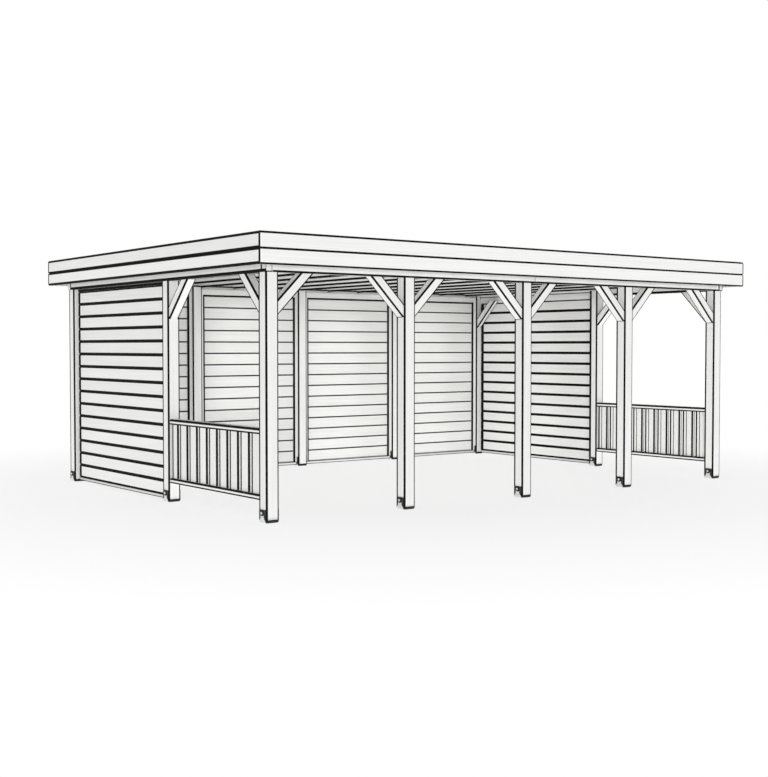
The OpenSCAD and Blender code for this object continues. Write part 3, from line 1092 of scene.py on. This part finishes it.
def seen_rays(tree):
    """1 for rays from the eye, straight, mirrored or let through, and 0 for rays that only carry light."""
    rays = add_node(tree, "LightPath").outputs
    either = {0: rays["Is Camera Ray"], 1: rays["Is Glossy Ray"]}
    seen = add_node(tree, "Math", either, operation="MAXIMUM").outputs[0]
    either = {0: seen, 1: rays["Is Transmission Ray"]}
    return add_node(tree, "Math", either, operation="MAXIMUM").outputs[0]


def studio_paper(tree, shader):
    """Pale studio floor that fades to white away from the object and keeps its shadow."""
    # Rolled-out matt studio paper: white, without shine, greyed only by the object's own soft shadow.
    near, far, near_share = 2.6, 6.6, 0.74
    tree.nodes.remove(shader)
    place = add_node(tree, "NewGeometry").outputs["Position"]
    # Fine felted fibres of the paper, drawn 40 mm across
    felting = {"Vector": place, "Scale": 1 / (40 * MM), "Detail": 2.0}
    fibres = add_node(tree, "TexNoise", felting).outputs["Fac"]
    whites = {0: fibres, FIRST: rgba(linear("#F6F6F6")), SECOND: rgba(linear("#F9F9F9"))}
    paper = add_node(tree, "Mix", whites, data_type="RGBA").outputs[MIXED]
    matt = add_node(tree, "BsdfDiffuse", {"Color": paper}).outputs["BSDF"]
    white = add_node(tree, "Emission", {"Strength": 1.0}).outputs["Emission"]
    distance = add_node(tree, "VectorMath", {0: place}, operation="LENGTH").outputs["Value"]
    away = {"Value": distance, "From Min": near, "From Max": far, "To Min": near_share}
    fade = add_node(tree, "MapRange", away).outputs["Result"]
    share = add_node(tree, "Math", {0: seen_rays(tree), 1: fade}, operation="MULTIPLY").outputs[0]
    blend = add_node(tree, "MixShader", {0: share, 1: matt, 2: white}).outputs["Shader"]
    fill(tree.nodes["Material Output"], {"Surface": blend})


def add_floor(stage):
    """Adds the floor."""
    cells = 8
    bm = bmesh.new()
    bmesh.ops.create_grid(bm, x_segments=cells, y_segments=cells, size=stage.floor_size / 2)
    floor = add_mesh(bm, "studio_floor", [material("pale matt studio floor", studio_paper)])


def light_world(stage):
    """Lights the scene evenly from all round, before a background that looks white."""
    world = bpy.data.worlds.new("soft white studio")
    world.use_nodes = True
    bpy.context.scene.world = world
    tree = world.node_tree
    plain = (1, 1, 1, 1)
    light = tree.nodes["Background"]
    fill(light, {"Color": plain, "Strength": stage.sky_strength})
    white = add_node(tree, "Background", {"Color": plain, "Strength": 1.0})
    both = {0: seen_rays(tree), 1: light.outputs["Background"], 2: white.outputs["Background"]}
    blend = add_node(tree, "MixShader", both).outputs["Shader"]
    fill(tree.nodes["World Output"], {"Surface": blend})


def add_key_lamp(stage):
    """Adds a soft low sun that shines from behind the camera."""
    spread, height, turn = math.radians(8), math.radians(1.5), math.radians(-34)
    lamp = bpy.data.lights.new("key lamp", "SUN")
    lamp.energy = stage.key_power
    lamp.angle = spread
    holder = add_object("key lamp", lamp)
    holder.rotation_euler = Euler((math.pi / 2 - height, 0, turn))


def add_bounce_lamp(name, power, size):
    """Adds a soft lamp that lies face up on the floor, unseen itself, so that undersides stay pale."""
    height = 0.01
    lamp = bpy.data.lights.new(name, "AREA")
    lamp.energy = power
    lamp.shape = "RECTANGLE"
    lamp.size, lamp.size_y = size
    holder = add_object(name, lamp)
    holder.location = (0, 0, height)
    holder.rotation_euler = Euler((math.pi, 0, 0))
    holder.visible_camera = False
    holder.visible_glossy = False


def add_camera(stage):
    """Adds the camera where the drawing was seen from."""
    level, sight = math.pi / 2, 300.0
    data = bpy.data.cameras.new("camera")
    data.lens = stage.camera_lens
    data.clip_end = sight
    camera = add_object("camera", data)
    camera.location = stage.camera_place
    camera.rotation_euler = Euler((level - stage.camera_dip, 0, -stage.camera_turn))
    bpy.context.scene.camera = camera


class PATIO_OT_stage(Operator):
    """Pale floor, soft light and the camera"""

    bl_idname = "patio.stage"
    bl_label = "Stage"

    def execute(self, context):
        stage = settings().stage
        bounce_size, ceiling_size = (26.0, 24.0), (5.5, 3.8)
        add_floor(stage)
        light_world(stage)
        add_key_lamp(stage)
        add_bounce_lamp("bounce lamp", stage.bounce_power, bounce_size)
        add_bounce_lamp("ceiling lamp", stage.ceiling_power, ceiling_size)
        add_camera(stage)
        bpy.context.scene.view_settings.view_transform = "Standard"
        return {"FINISHED"}


OPERATORS = (
    PATIO_OT_posts,
    PATIO_OT_shoes,
    PATIO_OT_beams,
    PATIO_OT_braces,
    PATIO_OT_boards,
    PATIO_OT_panel_frames,
    PATIO_OT_balustrades,
    PATIO_OT_rafters,
    PATIO_OT_roof,
    PATIO_OT_fascias,
    PATIO_OT_stage,
)


class PATIO_PT_sidebar(Panel):
    """Lists the pieces of the patio cover"""

    bl_idname = "PATIO_PT_sidebar"
    bl_label = "Patio cover"
    bl_space_type = "VIEW_3D"
    bl_region_type = "UI"
    bl_category = "Patio cover"

    def draw(self, context):
        for operator in OPERATORS:
            self.layout.operator(operator.bl_idname)


CLASSES = (
    TimberSettings,
    FinishSettings,
    StageSettings,
    PatioCoverSettings,
    *OPERATORS,
    PATIO_PT_sidebar,
)


def register():
    """Registers the classes and puts the settings on the scene."""
    for cls in CLASSES:
        bpy.utils.register_class(cls)
    bpy.types.Scene.patio_cover = PointerProperty(type=PatioCoverSettings)


def unregister():
    """Takes the settings and the classes away again."""
    del bpy.types.Scene.patio_cover
    for cls in reversed(CLASSES):
        bpy.utils.unregister_class(cls)


def main():
    """Builds every piece and the stage."""
    register()
    bpy.ops.patio.posts()
    bpy.ops.patio.shoes()
    bpy.ops.patio.beams()
    bpy.ops.patio.braces()
    bpy.ops.patio.boards()
    bpy.ops.patio.panel_frames()
    bpy.ops.patio.balustrades()
    bpy.ops.patio.rafters()
    bpy.ops.patio.roof()
    bpy.ops.patio.fascias()
    bpy.ops.patio.stage()


if __name__ == "__main__":
    main()
